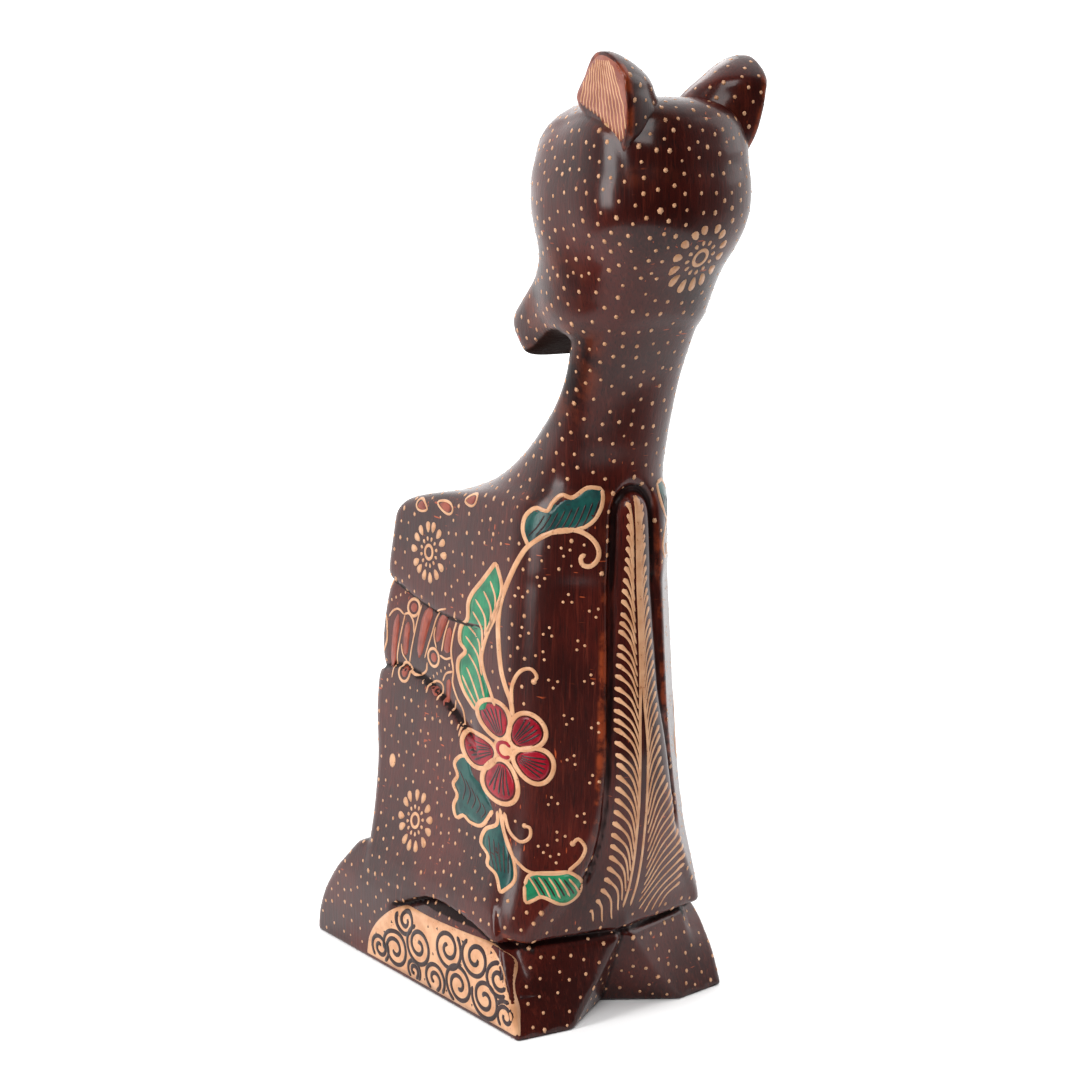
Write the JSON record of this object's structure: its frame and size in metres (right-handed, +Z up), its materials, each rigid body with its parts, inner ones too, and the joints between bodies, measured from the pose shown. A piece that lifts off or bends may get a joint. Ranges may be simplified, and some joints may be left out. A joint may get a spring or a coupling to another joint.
{
  "type": "carved giraffe statue",
  "caption": "Sitting giraffe figurine carved in wood with folded legs, head turned back over its body, and separately set ears.",
  "frame": {"origin": "middle of the flat face that the statue stands on", "axes": "+Z up, the chest and knees face -Y, the rump and the turned-back muzzle point to +Y, mirror plane X = 0"},
  "size_m": [0.0528, 0.1114, 0.2005],
  "materials": {
    "batik_wood": "dark stained and waxed wood with pale batik drawing, clear lacquer",
    "plain_wood": "bare light wood dowel"
  },
  "bodies": {
    "root": {"carved_block": "batik_wood", "left_ear": "batik_wood", "right_ear": "batik_wood", "left_ear_peg": "plain_wood", "right_ear_peg": "plain_wood"}
  },
  "joints": []
}
